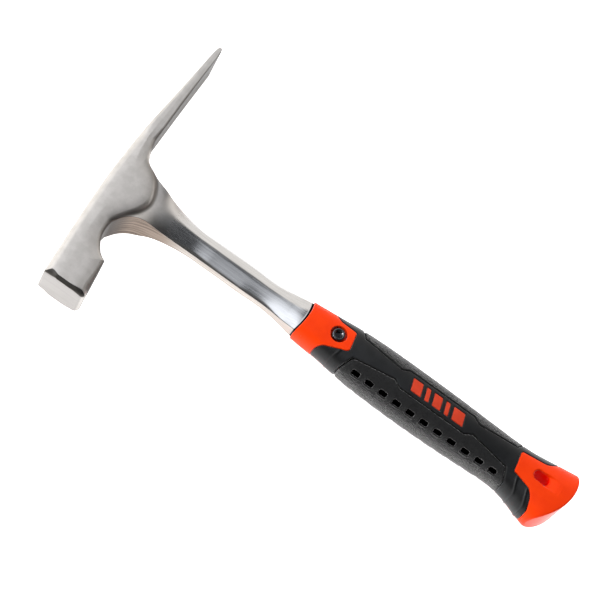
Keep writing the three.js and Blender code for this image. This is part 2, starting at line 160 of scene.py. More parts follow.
def surface_net(values, low, step):
    """Vertices and quads of the zero surface of a sampled field, negative inside."""
    inside = values < 0
    cells_shape = np.array(values.shape) - 1
    count = np.zeros(cells_shape, np.uint8)
    for c in CORNERS:
        count += inside[tuple(slice(o, o + n) for o, n in zip(c, cells_shape))]
    cells = np.argwhere((count > 0) & (count < 8))
    index = np.full(cells_shape, -1, np.int32)
    index[tuple(cells.T)] = np.arange(len(cells))
    total, hits = np.zeros((len(cells), 3)), np.zeros(len(cells))
    for a, b in CELL_EDGES:
        fa, fb = values[tuple((cells + a).T)], values[tuple((cells + b).T)]
        cut = (fa < 0) != (fb < 0)
        t = (fa[cut] / (fa[cut] - fb[cut])).astype(float)
        total[cut] += a + t[:, None] * (b - a)
        hits[cut] += 1
    vertices = np.array(low) + step * (cells + total / hits[:, None])
    quads = []
    for axis in range(3):
        u, v = np.eye(3, dtype=int)[(axis + 1) % 3], np.eye(3, dtype=int)[(axis + 2) % 3]
        first = np.take(inside, np.arange(inside.shape[axis] - 1), axis)
        second = np.take(inside, np.arange(1, inside.shape[axis]), axis)
        edges = np.argwhere(first != second)
        quad = np.stack([index[tuple((edges - o).T)] for o in (u + v, v, 0 * u, u)], axis=1)
        flip = ~first[tuple(edges.T)]
        quad[flip] = quad[flip][:, ::-1]
        quads.append(quad)
    return vertices, np.concatenate(quads)


def gradient(field, p, size=0.02):
    parts = []
    for axis in range(3):
        offset = np.zeros(3)
        offset[axis] = size
        parts.append((field(*(p + offset).T) - field(*(p - offset).T)) / (2 * size))
    return np.stack(parts, axis=1)


def solid_mesh(field, x, y, z, step):
    """Mesh of a field within ranges of x, y and z, mirrored below the mid-plane if z begins at 0."""
    axes = [np.arange(low, high + step, step).astype(np.float32) for low, high in (x, y, z)]
    values = field(axes[0][:, None, None], axes[1][None, :, None], axes[2][None, None, :])
    shape = tuple(len(a) for a in axes)
    values = np.ascontiguousarray(np.broadcast_to(values, shape))
    low = [a[0] for a in axes]
    if z[0] == 0:
        values = np.concatenate([values[:, :, :0:-1], values], axis=2)
        low[2] = -axes[2][-1]
    vertices, quads = surface_net(values, low, step)
    for _ in range(2):
        slope = gradient(field, vertices)
        size = np.maximum((slope ** 2).sum(1), 0.05)
        move = -(field(*vertices.T) / size)[:, None] * slope
        vertices = vertices + np.clip(move, -0.4 * step, 0.4 * step)
    return vertices, quads


def joined(*meshes):
    vertices, quads, start = [], [], 0
    for v, q in meshes:
        vertices.append(v)
        quads.append(q + start)
        start += len(v)
    return np.concatenate(vertices), np.concatenate(quads)


def add_piece(name, shape, material, slot, *nodes, field=None, painted_shade=None):
    """Makes the Blender object; with a field, its shading follows the field exactly.

    worn, a function of position, is stored on the vertices for the material as its amount of painted shade.
    """
    vertices, quads = shape
    mesh = bpy.data.meshes.new(name)
    mesh.vertices.add(len(vertices))
    mesh.vertices.foreach_set("co", (vertices * MM + ORIGIN).astype(np.float32).ravel())
    mesh.loops.add(4 * len(quads))
    mesh.loops.foreach_set("vertex_index", quads.astype(np.int32).ravel())
    mesh.polygons.add(len(quads))
    mesh.polygons.foreach_set("loop_start", np.arange(0, 4 * len(quads), 4, dtype=np.int32))
    mesh.update(calc_edges=True)
    mesh.validate()
    mesh.shade_smooth()
    if field is not None:
        normals = gradient(field, vertices)
        normals /= np.maximum(np.linalg.norm(normals, axis=1, keepdims=True), 1e-6)
        mesh.normals_split_custom_set_from_vertices(normals.astype(np.float32))
    if painted_shade is not None:
        amounts = np.clip(painted_shade(*vertices.T), 0, 1).astype(np.float32)
        mesh.attributes.new("painted_shade", "FLOAT", "POINT").data.foreach_set("value", amounts)
    mesh.materials.append(material)
    piece = bpy.data.objects.new(name, mesh)
    bpy.context.scene.collection.objects.link(piece)
    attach(piece, "root")
    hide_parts(*nodes)


# ---------------------------------------------------------------- node materials

class Nodes:
    """Builds the node tree of a material or a world."""

    def __init__(self, owner):
        self.owner = owner
        owner.use_nodes = True
        self.tree = owner.node_tree
        self.tree.nodes.clear()

    def add(self, kind, inputs=None, **settings):
        node = self.tree.nodes.new(kind)
        for key, value in settings.items():
            setattr(node, key, value)
        for key, value in (inputs or {}).items():
            self.feed(node.inputs[key], value)
        return node

    def feed(self, socket, value):
        if isinstance(value, bpy.types.NodeSocket):
            self.tree.links.new(value, socket)
        else:
            socket.default_value = value

    def maths(self, operation, *values):
        node = self.add("ShaderNodeMath", operation=operation)
        for socket, value in zip(node.inputs, values):
            self.feed(socket, value)
        return node.outputs[0]

    def ramp(self, value, low, high, out_low=0.0, out_high=1.0):
        node = self.add("ShaderNodeMapRange", {
            "Value": value, "From Min": low, "From Max": high, "To Min": out_low, "To Max": out_high,
        }, interpolation_type="SMOOTHSTEP")
        return node.outputs["Result"]

    def mix(self, factor, a, b):
        node = self.add("ShaderNodeMix", data_type="RGBA")
        for socket, value in zip((node.inputs[0], node.inputs[6], node.inputs[7]), (factor, a, b)):
            self.feed(socket, value)
        return node.outputs[2]

    def place(self, scale=(1, 1, 1)):
        """Position on the object in millimetres of the frame, stretched."""
        where = self.add("ShaderNodeTexCoord").outputs["Object"]
        size = tuple(1000 * s for s in scale)
        return self.add("ShaderNodeMapping", {"Vector": where, "Scale": size}).outputs[0]

    def facing(self):
        """The x, y and z parts of the surface's direction."""
        normal = self.add("ShaderNodeNewGeometry").outputs["Normal"]
        return self.add("ShaderNodeSeparateXYZ", {"Vector": normal}).outputs

    # the amount of painted shade stored on the vertices, 0 to 1
    def painted_shade(self):
        return self.add("ShaderNodeAttribute", attribute_name="painted_shade").outputs["Fac"]

    def noise(self, vector, scale, detail=3.0, rough=0.5):
        return self.add("ShaderNodeTexNoise", {
            "Vector": vector, "Scale": scale, "Detail": detail, "Roughness": rough,
        }).outputs["Fac"]

    def bump(self, height, strength, distance, normal=None):
        inputs = {"Height": height, "Strength": strength, "Distance": distance}
        if normal is not None:
            inputs["Normal"] = normal
        return self.add("ShaderNodeBump", inputs).outputs[0]

    def finish(self, **inputs):
        shader = self.add("ShaderNodeBsdfPrincipled", {k.replace("_", " "): v for k, v in inputs.items()})
        self.add("ShaderNodeOutputMaterial", {"Surface": shader.outputs[0]})
        return self.owner


def new_material(name, shown):
    material = bpy.data.materials.new(name)
    material.diffuse_color = (*shown, 1)
    return Nodes(material)


def steel():
    """Satin cheeks, ground narrow faces, a polished neck, a painted dark reflection on the chamfer above
    the striking face, and painted shade.
    """
    n = new_material("forged_steel", (0.55, 0.54, 0.53))
    x, y, z = n.add("ShaderNodeSeparateXYZ", {"Vector": n.place()}).outputs
    toward_butt, toward_chisel, upward = n.facing()
    start, axis, middle = (1000 * c for c in ORIGIN)
    face = axis + FACE_Y
    height = n.maths("ABSOLUTE", n.maths("SUBTRACT", z, middle))
    sideways = n.maths("ABSOLUTE", toward_chisel)

    mottle = n.noise(n.place(), 0.22, 4, 0.55)
    satin = n.noise(n.place((1, 0.35, 1)), 2.6, 3, 0.6)
    ground = n.noise(n.place((0.03, 0.03, 1.0)), 0.75, 5, 0.7)
    streaks = n.ramp(ground, 0.38, 0.6)
    lines = n.noise(n.place((0.03, 1.0, 1.0)), 1.6, 3, 0.6)
    grit = n.noise(n.place(), 2.4, 4, 0.65)

    # the polish of the neck fades in past the boss of the head and stops at its narrow faces
    on_neck = n.maths("MULTIPLY", n.ramp(x, start + 27, start + 60), n.ramp(height, 11.2, 12.8, 1.0, 0.0))
    on_edge = n.ramp(sideways, 0.75, 0.93)
    mirror = n.maths("MULTIPLY", on_neck, n.maths("SUBTRACT", 1.0, on_edge))

    # the narrow faces are ground, browner on the fan between the head and the neck
    edge_colour = n.mix(streaks, (0.44, 0.39, 0.35, 1), (0.54, 0.495, 0.455, 1))
    fan_colour = n.mix(streaks, (0.15, 0.112, 0.086, 1), (0.34, 0.27, 0.222, 1))
    face_colour = n.mix(streaks, (0.35, 0.33, 0.315, 1), (0.39, 0.37, 0.355, 1))
    past_poll = n.ramp(y, face + 30, face + 42)
    fan = n.maths("MULTIPLY", n.ramp(x, start + 44, start + 62, 1.0, 0.0), past_poll)
    edge_colour = n.mix(fan, edge_colour, fan_colour)
    edge_colour = n.mix(n.ramp(y, face + 2.5, face + 4.5, 1.0, 0.0), edge_colour, face_colour)
    turned_aside = n.maths("MULTIPLY", n.ramp(sideways, 0.2, 0.5), n.ramp(x, start + 15, start + 18))
    fan = n.maths("MULTIPLY", fan, turned_aside)
    fan = n.maths("MULTIPLY", fan, n.ramp(height, 12.0, 12.6, 1.0, 0.0))
    on_edge = n.maths("MAXIMUM", on_edge, fan)

    satin_colour = n.mix(n.ramp(mottle, 0.35, 0.68), (0.485, 0.458, 0.428, 1), (0.54, 0.51, 0.48, 1))
    mirror_colour = n.mix(n.ramp(lines, 0.3, 0.7), (0.50, 0.49, 0.485, 1), (0.56, 0.55, 0.54, 1))
    colour = n.mix(on_edge, satin_colour, edge_colour)
    colour = n.mix(mirror, colour, mirror_colour)

    # painted shade: darker on the head's faces that turn towards the handle, and in the corner between the
    # head and the neck
    beside_neck = n.maths("ABSOLUTE", n.maths("SUBTRACT", y, axis + 2))
    painted_inner_shade = n.maths("MULTIPLY", n.ramp(toward_butt, 0.15, 0.9), n.ramp(beside_neck, 20, 27))
    painted_inner_shade = n.maths("MULTIPLY", painted_inner_shade, n.ramp(y, face + 2, face + 6))
    colour = n.mix(painted_inner_shade, colour, (0.08, 0.072, 0.066, 1))
    # painted shade in the corner between the head and the neck
    colour = n.mix(n.painted_shade(), colour, (0.07, 0.056, 0.048, 1))

    # painted shade: a dark line where the neck enters the collar, for the shadow in the gap
    collar_gap_shade = n.add("ShaderNodeVectorMath", {
        0: n.add("ShaderNodeCombineXYZ", {"X": x, "Y": y}).outputs[0],
        1: (start + MOUTH_X - MOUTH_RADIUS, axis, 0),
    }, operation="DISTANCE").outputs["Value"]
    collar_gap_shade = n.maths("ABSOLUTE", n.maths("SUBTRACT", collar_gap_shade, MOUTH_RADIUS - 0.3))
    collar_gap_shade = n.maths("MULTIPLY", n.ramp(collar_gap_shade, 0.7, 1.0, 1.0, 0.0), n.ramp(x, start + 120, start + 122))
    colour = n.mix(collar_gap_shade, colour, (0.004, 0.004, 0.004, 1))

    # painted dark reflection on the chamfer between the striking face and the upper cheek, where it faces
    # up and towards the face
    near_face = n.ramp(y, face + 3.2, face + 4.2, 1.0, 0.0)
    chamfer = n.maths("MULTIPLY", near_face, n.ramp(toward_chisel, -0.97, -0.88))
    chamfer = n.maths("MULTIPLY", chamfer, n.ramp(toward_chisel, -0.3, -0.15, 1.0, 0.0))
    chamfer = n.maths("MULTIPLY", chamfer, n.ramp(upward, 0.2, 0.45))
    colour = n.mix(chamfer, colour, (0.07, 0.065, 0.06, 1))

    satin_rough = n.ramp(satin, 0.2, 0.8, 0.44, 0.54)
    mirror_rough = n.ramp(lines, 0.3, 0.7, 0.10, 0.17)
    smooth_rough = n.add("ShaderNodeMix", {"Factor": mirror, "A": 0.49, "B": mirror_rough}).outputs[0]
    rough = n.add("ShaderNodeMix", {
        "Factor": n.ramp(mirror, 0, 0.15), "A": satin_rough, "B": smooth_rough,
    }).outputs[0]
    normal = n.bump(grit, n.ramp(mirror, 0, 0.2, 0.14, 0.0), 0.0002)
    normal = n.bump(ground, n.maths("MULTIPLY", on_edge, 0.25), 0.0002, normal)
    normal = n.bump(lines, n.maths("MULTIPLY", mirror, 0.012), 0.0002, normal)
    return n.finish(Base_Color=colour, Metallic=1.0, Roughness=rough, Normal=normal)


def orange_plastic(name, dark, light):
    """Satin plastic with painted shade, a deeper red, inside its holes, and a bloom that is strongest on
    faces towards the butt.
    """
    n = new_material(name, light)
    cloud = n.noise(n.place(), 0.12, 3, 0.5)
    fine = n.noise(n.place(), 3.4, 3, 0.6)
    colour = n.mix(n.ramp(cloud, 0.35, 0.65), (*dark, 1), (*light, 1))
    # painted shade: deeper red inside the holes
    hollow = n.painted_shade()
    colour = n.mix(hollow, colour, (0.98, 0.008, 0.0, 1))
    rough = n.ramp(fine, 0.3, 0.7, 0.42, 0.52)
    normal = n.bump(fine, 0.12, 0.0002)
    bloom = n.ramp(n.facing()[0], 0.2, 0.7, 0.4, 1.0)
    return n.finish(
        Base_Color=colour, Roughness=rough, Normal=normal,
        Specular_IOR_Level=n.ramp(hollow, 0, 1, 0.1, 0.02),
        Sheen_Weight=n.maths("MULTIPLY", bloom, n.ramp(hollow, 0, 1, 1.0, 0.0)), Sheen_Roughness=0.25,
    )


def hard_black():
    n = new_material("satin_black_moulding", (0.02, 0.021, 0.022))
    fine = n.noise(n.place(), 4.0, 3, 0.6)
    cloud = n.noise(n.place(), 0.15, 3, 0.5)
    colour = n.mix(n.ramp(cloud, 0.3, 0.7), (0.006, 0.0062, 0.0064, 1), (0.010, 0.0103, 0.0107, 1))
    rough = n.ramp(fine, 0.3, 0.7, 0.34, 0.44)
    normal = n.bump(fine, 0.15, 0.0002)
    return n.finish(
        Base_Color=colour, Roughness=rough, Normal=normal, Specular_IOR_Level=0.22,
        Sheen_Weight=0.5, Sheen_Roughness=0.3, Sheen_Tint=(1.0, 0.98, 0.96, 1),
    )


def soft_black():
    """Pebbled rubber with a little dust, and painted shade that makes it black in its slots and grooves."""
    n = new_material("grained_black_rubber", (0.025, 0.025, 0.026))
    pebble = n.add("ShaderNodeTexVoronoi", {"Vector": n.place(), "Scale": 1.25}, feature="DISTANCE_TO_EDGE")
    grain = n.ramp(pebble.outputs["Distance"], 0.02, 0.22)
    fine = n.noise(n.place(), 5.0, 3, 0.6)
    dust = n.noise(n.place(), 0.3, 4, 0.6)
    colour = n.mix(grain, (0.002, 0.002, 0.002, 1), (0.013, 0.013, 0.013, 1))
    colour = n.mix(n.ramp(dust, 0.5, 0.8, 0.0, 0.35), colour, (0.024, 0.024, 0.024, 1))
    # painted shade: near-black deep in the slots and grooves
    hollow = n.painted_shade()
    colour = n.mix(hollow, colour, (0.0005, 0.0005, 0.0005, 1))
    rough = n.ramp(fine, 0.3, 0.7, 0.50, 0.66)
    normal = n.bump(grain, 0.6, 0.0003)
    normal = n.bump(fine, 0.15, 0.0002, normal)
    return n.finish(
        Base_Color=colour, Roughness=rough, Normal=normal,
        Specular_IOR_Level=n.ramp(hollow, 0, 1, 0.22, 0.0), Sheen_Weight=n.ramp(hollow, 0, 1, 1.0, 0.0),
        Sheen_Roughness=0.33, Sheen_Tint=(1.0, 0.97, 0.94, 1),
    )


def black_steel():
    n = new_material("black_oxide_steel", (0.02, 0.02, 0.022))
    fine = n.noise(n.place(), 4.0, 3, 0.6)
    colour = n.mix(n.ramp(fine, 0.3, 0.7), (0.07, 0.07, 0.075, 1), (0.13, 0.13, 0.14, 1))
    rough = n.ramp(fine, 0.3, 0.7, 0.10, 0.18)
    normal = n.bump(fine, 0.1, 0.0001)
    return n.finish(Base_Color=colour, Roughness=rough, Normal=normal, Metallic=1.0)


STEEL, HARD, SOFT, OXIDE = steel(), hard_black(), soft_black(), black_steel()
ORANGE = orange_plastic("orange_plastic", (0.96, 0.044, 0.0), (1.0, 0.050, 0.0))
EMBLEM = orange_plastic("emblem_plastic", (0.62, 0.050, 0.018), (0.72, 0.062, 0.024))


# ---------------------------------------------------------------- forging

TIP_Y = 107.0
CHEEK_HALF = 13.5
BLADE_ROOT_Y = 33.0
BLADE_TIP_HALF = 15.5
FACE_CHAMFER = 2.0
CROWN, CROWN_REACH = 0.7, 5.0
EDGE_RADIUS = 2.6

# x and y around the head: the back, the cutting edge, the boss that the neck leaves, and the poll
HEAD_OUTLINE = (
    [(6.1, FACE_Y - 8)]
    + spline([(5.4, FACE_Y), (2.2, -36), (0.4, -6), (0, 12), (0.3, 33), (1.2, 46), (2.3, 62), (3.7, 82),
              (5, 101)])
    + [(5.0, 101.0), (5.7, 105.4), (6.4, 106.6), (7.2, TIP_Y), (8.0, 106.5), (8.7, 104.6)]
    + [(8.8, 98.0), (9.0, 82.0), (9.4, 62.0), (9.8, 46.0)]
    + spline([(10.1, 33), (14.4, 20.2), (22.2, 14.2), (27.2, 6.6), (29.3, -1.5), (27, -10.2), (22.2, -18.2),
              (18.6, -26.4), (19.3, -36.5), (23.8, -44.4), (28.9, -47.9)])
    + [(28.9, -47.9), (32.8, FACE_Y), (34.0, FACE_Y - 8)]
)

# x, depth towards the chisel and towards the face, half width of the narrow faces, half thickness
NECK = Stations([
    [12, 18.0, 24.0, 10.6, 10.0],
    [19, 15.6, 23.4, 11.5, 10.0],
    [22, 14.4, 19.4, 11.7, 10.0],
    [27.6, 12.7, 14.6, 11.4, 10.0],
    [33, 11.6, 12.4, 10.2, 9.8],
    [38.6, 10.7, 11.0, 7.3, 9.1],
    [44.6, 10.0, 10.2, 5.1, 8.1],
    [52, 9.4, 9.5, 3.7, 7.1],
    [62, 8.9, 8.9, 2.7, 6.4],
    [76, 8.8, 8.8, 2.6, 6.1],
    [97, 8.8, 8.8, 2.6, 5.9],
    [118, 8.8, 8.8, 2.6, 6.0],
    [128, 9.5, 9.9, 3.4, 6.3],
    [137, 10.2, 10.8, 4.8, 6.6],
    [146, 10.2, 10.8, 4.8, 6.6],
    [150, 8.4, 8.4, 3.6, 4.6],
    [281, 6.4, 6.4, 3.0, 3.6],
])
NECK_START_X, NECK_FILLET, NECK_CREASE = 15.0, 2.0, 0.45
TANG_STEP_X, TANG_END_X = 150.0, 281.0
SCREW_X = 159.0
SLEEVE_ROOM = 3.8


def head_field(x, y, z):
    outline = outline_distance(HEAD_OUTLINE, x, y)
    half = np.interp(y, [BLADE_ROOT_Y, TIP_Y], [CHEEK_HALF, BLADE_TIP_HALF])
    slab = np.abs(z) - half
    # from 0 to 1, in the parts of the head that are rounded by their own amount
    middle = np.interp(y, [BLADE_ROOT_Y - 20, BLADE_ROOT_Y], [12.0, 5.5])
    back = smoothstep(2.5, -2.5, x - middle)
    blade = smoothstep(28, 44, y + 0 * x)
    handle_side = smoothstep(20, 30, x)
    corner = handle_side * smoothstep(-52, -70, y)
    radius = EDGE_RADIUS + 1.6 * back * (1 - 1.3 * blade) + (1.6 * corner - 1.3 * blade) * (1 - back)
    radius = radius * np.clip((TIP_Y - y) / 40, 0.08, 1)
    crown = CROWN * np.exp(-(outline / CROWN_REACH) ** 2) * (1 - 0.7 * blade)
    side = both(outline, FACE_Y - y, 1.0 + 2.6 * handle_side)
    body = both(side, slab + crown, radius.astype(np.asarray(y).dtype))
    size = 0.6 + (FACE_CHAMFER - 0.6 + 0.6 * corner) * smoothstep(3, 9, x)
    return np.maximum(body, (slab + FACE_Y - y + size) * math.sqrt(0.5))


def neck_field(x, y, z):
    toward_chisel, toward_face, edge, thick = NECK.at(x)
    depth = np.where(y > 0, toward_chisel, toward_face)
    t = y / depth
    side = edge + (thick - edge) * (1 - t * t)
    slope = 2 * (thick - edge) * t / depth
    across = (np.abs(z) - side) / np.sqrt(1 + slope * slope)
    edges = np.maximum(y - toward_chisel, -y - toward_face)
    return both(across, edges, NECK_CREASE)


def forging_field(x, y, z):
    """The head and the neck, up to the step of the tang inside the collar."""
    neck = np.maximum(neck_field(x, y, z), NECK_START_X - x)
    body = blended(head_field(x, y, z), neck, NECK_FILLET)
    flush = np.abs(z) - CHEEK_HALF + 0.02 * np.maximum(x - 29, 0)
    body = np.where(y < BLADE_ROOT_Y - 4, np.maximum(body, flush), body)
    return np.maximum(body, x - TANG_STEP_X)


def tang_field(x, y, z):
    tang = both(neck_field(x, y, z), np.maximum(TANG_STEP_X - 2 - x, x - TANG_END_X), 1.0)
    return np.maximum(tang, SLEEVE_ROOM - np.hypot(x - SCREW_X, y))


forging = joined(
    solid_mesh(forging_field, (-1, 152), (-75.5, 108.5), (0, 17), 0.45),
    solid_mesh(tang_field, (146, 283), (-12, 12), (0, 8), 0.8),
)


def whole_forging(x, y, z):
    return np.where(x < TANG_STEP_X - 0.5, forging_field(x, y, z), tang_field(x, y, z))


def painted_crease_shade(x, y, z):
    """Painted shade where the neck meets the boss of the head: most in the corner, 0 away from it."""
    head, neck = np.maximum(head_field(x, y, z), 0), np.maximum(neck_field(x, y, z), 0)
    below_cheek = smoothstep(13.4, 12.9, np.abs(z)) * (x > 12)
    return 0.85 * np.exp(-(head / 1.5) ** 2 - (neck / 2.2) ** 2) * below_cheek


add_piece("forging", forging, STEEL, "forged_steel", "forged_head_tang", field=whole_forging, painted_shade=painted_crease_shade)


# ---------------------------------------------------------------- grip

# x, middle in y, half depth in y, half thickness in z
GRIP = Stations([
    [134, -0.25, 12.1, 11.0],
    [139, -0.25, 12.35, 11.3],
    [147, -0.2, 13.0, 11.8],
    [156, 0, 13.7, 12.1],
    [166, -0.1, 14.9, 12.6],
    [178, -0.35, 15.85, 13.4],
    [194, -0.5, 16.25, 14.1],
    [216, -0.7, 16.3, 14.4],
    [240, -0.7, 15.8, 14.4],
    [262, -0.55, 14.95, 14.0],
    [277, -0.55, 14.65, 13.6],
    [288, -1.4, 15.9, 13.6],
    [300, -2.75, 19.05, 13.8],
    [311, -3.25, 21.3, 14.1],
    [326, -2.05, 22.35, 14.1],
])
ROUNDNESS = 2.4  # exponent of the rounded section
SKIN = 3.2  # thickness of the black mouldings
GAP = 0.3
CORE_END_X = 288.6
BUTT_RADIUS, BUTT_MIDDLE_Y = 34.0, 4.5
COUNTERBORE_RADIUS = 5.0
COUNTERBORE_FLOOR = 8.2
FAR = 40.0  # beyond the grip on either side


def envelope(x, y, z):
    """Approximate distance to the outer form of the grip."""
    middle, depth, thick = GRIP.at(x)
    ay, az = np.abs(y - middle) / depth, np.abs(z) / thick
    size = np.maximum((ay ** ROUNDNESS + az ** ROUNDNESS) ** (1 / ROUNDNESS), 0.02)
    steep = np.hypot((ay / size) ** (ROUNDNESS - 1) / depth, (az / size) ** (ROUNDNESS - 1) / thick)
    return (size - 1) / np.maximum(steep, 0.01)


def hollow(x, y, z):
    """0 on the grip's skin, 1 in the depth of the slots and grooves."""
    return smoothstep(-0.45, -1.1, envelope(x, y, z))


def butt_distance(x, y):
    """Distance in the x-y plane to the round end of the butt."""
    return np.hypot(x - (LENGTH - BUTT_RADIUS), y - BUTT_MIDDLE_Y) - BUTT_RADIUS


def deep_hollow(x, y, z):
    """0 on the grip's skin, at its mouth and on the butt, 1 well inside a hole."""
    below_skin = smoothstep(-0.8, -3.4, envelope(x, y, z))
    return below_skin * smoothstep(-1, -2.5, butt_distance(x, y)) * (x > TANG_STEP_X)


# outlines of the mouldings, x and y seen from above
COLLAR = (
    [(100, -FAR), (149.6, -FAR), (150.2, -15.5)]
    + bend((150.2, -15.5), (153.2, -9.6), (157.8, -9.1))
    + bend((166.8, -6.2), (169, -5.5), (169, -4))
    + bend((167.4, 5.4), (167.4, 7.4), (165.2, 7.4))
    + bend((157.5, 8), (153.8, 8.4), (150.2, 15.5))
    + [(149.6, FAR), (100, FAR)]
)
CAP = (
    [(340, FAR), (306.5, FAR), (305.5, 17)]
    + bend((305.5, 17), (301.2, 9.8), (296.9, 9))
    + bend((283.8, 7), (282, 7), (282, 5))
    + bend((283.6, -5), (283.6, -7), (285.4, -7))
    + bend((292.7, -9), (297.2, -10), (299.7, -14.5))
    + [(302.2, -20), (301.2, -FAR), (340, -FAR)]
)
PAD_START_X, PAD_END_X = 172.9, 278.6
PANEL_START_X, PANEL_END_X, PANEL_TAPER, PANEL_HALF = 204.4, 248.4, 4.8, 6.1
BAND_END_HALF, BAND_WAIST_HALF = 7.0, 3.4
PAD = [
    (PAD_START_X - 9, -FAR),
    (PAD_START_X - 5.2, -17),
    (PAD_START_X, -BAND_END_HALF),
    (PANEL_START_X - PANEL_TAPER, -BAND_WAIST_HALF),
    (PANEL_START_X, -PANEL_HALF),
    (PANEL_END_X, -PANEL_HALF),
    (PANEL_END_X + PANEL_TAPER, -BAND_WAIST_HALF),
    (PAD_END_X, -BAND_END_HALF),
    (PAD_END_X + 4.2, -14),
    (PAD_END_X + 4.6, -FAR),
]
SLOT_COUNT, SLOT_FIRST_X, SLOT_PITCH = 11, 179.4, 9.44
SLOT_LENGTH, SLOT_WIDTH, SLOT_DEPTH = 5.2, 3.3, 2.5
SLOT_CORNER, SLOT_REACH = 1.1, 6.0
PAD_GAP, PAD_FLOOR_GAP, PAD_GROOVE_DEPTH, LIP_HEIGHT = 0.5, 0.12, 1.3, 0.22
BEVEL_WIDTH, BEVEL_DEPTH = 2.2, 1.0
SLOT_Y, SLOT_Z, SLOT_TILT = 13.3, 9.3, 0.82


def core_field(x, y, z):
    skin = envelope(x, y, z)
    collar = both(skin, outline_distance(COLLAR, x, y), 0.5)
    mouth = MOUTH_RADIUS - np.hypot(x - (MOUTH_X - MOUTH_RADIUS), y)
    collar = both(collar, mouth, 0.7)
    tube = np.maximum(skin + SKIN, np.maximum(TANG_STEP_X - x, x - CORE_END_X))
    core = np.minimum(collar, tube)
    room = np.interp(x, [MOUTH_X, MOUTH_X + 2], [0.45, GAP])
    core = without(core, neck_field(x, y, z) - room, 0.3)
    across = np.hypot(x - SCREW_X, y)
    core = without(core, np.maximum(across - COUNTERBORE_RADIUS, COUNTERBORE_FLOOR - np.abs(z)), 0.45)
    return np.maximum(core, SLEEVE_ROOM - across)


core = solid_mesh(core_field, (131, 291), (-18, 18), (0, 15), 0.4)
add_piece(
    "grip_collar_and_core", core, ORANGE, "orange_plastic", "grip_core", field=core_field, painted_shade=deep_hollow,
)

BAR_WIDTHS = [6.6, 2.6, 5.4, 2.6, 7.4]
BAR_FIRST_X, BAR_SPACE, BAR_HALF, BAR_LEAN = 209.0, 2.7, 3.9, 1.1
BACKING_LOW, BACKING_HIGH, BACKING_HALF = 11.8, 12.8, 4.9
BACKING_X, BACKING_REACH = 227.0, 21.4


def bars_distance(x, y, grow=0.0):
    """Distance in the x-y plane to the nearest slanted bar of the emblem."""
    best, left = 1e9, BAR_FIRST_X
    for width in BAR_WIDTHS:
        middle = left + width / 2 - BAR_LEAN * y / BAR_HALF
        bar = both(np.abs(x - middle) - width / 2 - grow, np.abs(y) - BAR_HALF - grow, 0.5)
        best = np.minimum(best, bar)
        left += width + BAR_SPACE
    return best


def pad_distance(x, y, gap=0.0):
    return outline_distance(PAD, x, y) + gap


def around(x, y, z):
    """Angle around the grip in degrees: 0 on its upper and lower sides, 90 towards the face."""
    middle, depth, thick = GRIP.at(x)
    return np.degrees(np.arctan2((middle - y) / depth, np.maximum(np.abs(z) / thick, 1e-3)))


RIB_BUTT_X, RIB_FRONT_X, RIB_PITCH = 287.0, 164.6, 8.2
RIB_BOW, RIB_HEIGHT, RIB_HALF = 3.6, 0.42, 0.75


def ribs(x, y, z):
    """Height of the finger ribs that bow around the striking-face side at both ends of the grip."""
    angle = around(x, y, z)
    bow = RIB_BOW * smoothstep(22, 62, angle)
    butt = x - bow - RIB_BUTT_X
    butt = np.minimum(np.abs(butt), np.abs(butt - RIB_PITCH))
    front = np.abs(x + 0.5 * bow - RIB_FRONT_X)
    height = np.exp(-(butt / RIB_HALF) ** 2) + 0.6 * np.exp(-(front / RIB_HALF) ** 2)
    return RIB_HEIGHT * height * smoothstep(16, 32, angle)


def shell_field(x, y, z):
    skin = envelope(x, y, z)
    shell = without(skin, outline_distance(COLLAR, x, y) - GAP, 0.4)
    shell = without(shell, outline_distance(CAP, x, y) - GAP, 0.4)
    shell = without(shell, pad_distance(x, y), 0.5)
    shell = without(shell, pad_distance(x, -y), 0.5)
    shell = shell - ribs(x, y, z) * smoothstep(-1.6, -0.9, shell) * smoothstep(-1.5, -0.5, skin)
    shell = np.maximum(shell, -(skin + SKIN - GAP))
    windows = np.maximum(bars_distance(x, y, GAP), BACKING_LOW - GAP - np.abs(z))
    shell = without(shell, windows, 0.25)
    along = np.abs(x - BACKING_X) - (BACKING_REACH + 2 * GAP)
    back_room = np.maximum(along, np.abs(y) - BACKING_HALF - GAP)
    back_room = np.maximum(back_room, np.abs(z) - BACKING_HIGH - GAP)
    return np.maximum(shell, -back_room)


shell = solid_mesh(shell_field, (148, 305), (-24, 21), (0, 15.5), 0.4)
add_piece("grip_shell_smooth", shell, HARD, "hard_black", "grip_shell", field=shell_field)


def rounded_slot(x, y, z):
    """Distance to the outline of the striking-face pad's nearest relief slot, and along its depth."""
    nearest = np.clip(np.round((x - SLOT_FIRST_X) / SLOT_PITCH), 0, SLOT_COUNT - 1)
    along = np.abs(x - SLOT_FIRST_X - SLOT_PITCH * nearest)
    dy, dz = y + SLOT_Y, np.abs(z) - SLOT_Z
    c, s = math.cos(SLOT_TILT), math.sin(SLOT_TILT)
    wide = np.abs(c * dy + s * dz)
    deep = np.abs(-s * dy + c * dz)
    r = SLOT_CORNER
    qx, qy = along - SLOT_LENGTH / 2 + r, wide - SLOT_WIDTH / 2 + r
    flat = np.minimum(np.maximum(qx, qy), 0) + np.hypot(np.maximum(qx, 0), np.maximum(qy, 0)) - r
    return flat, deep


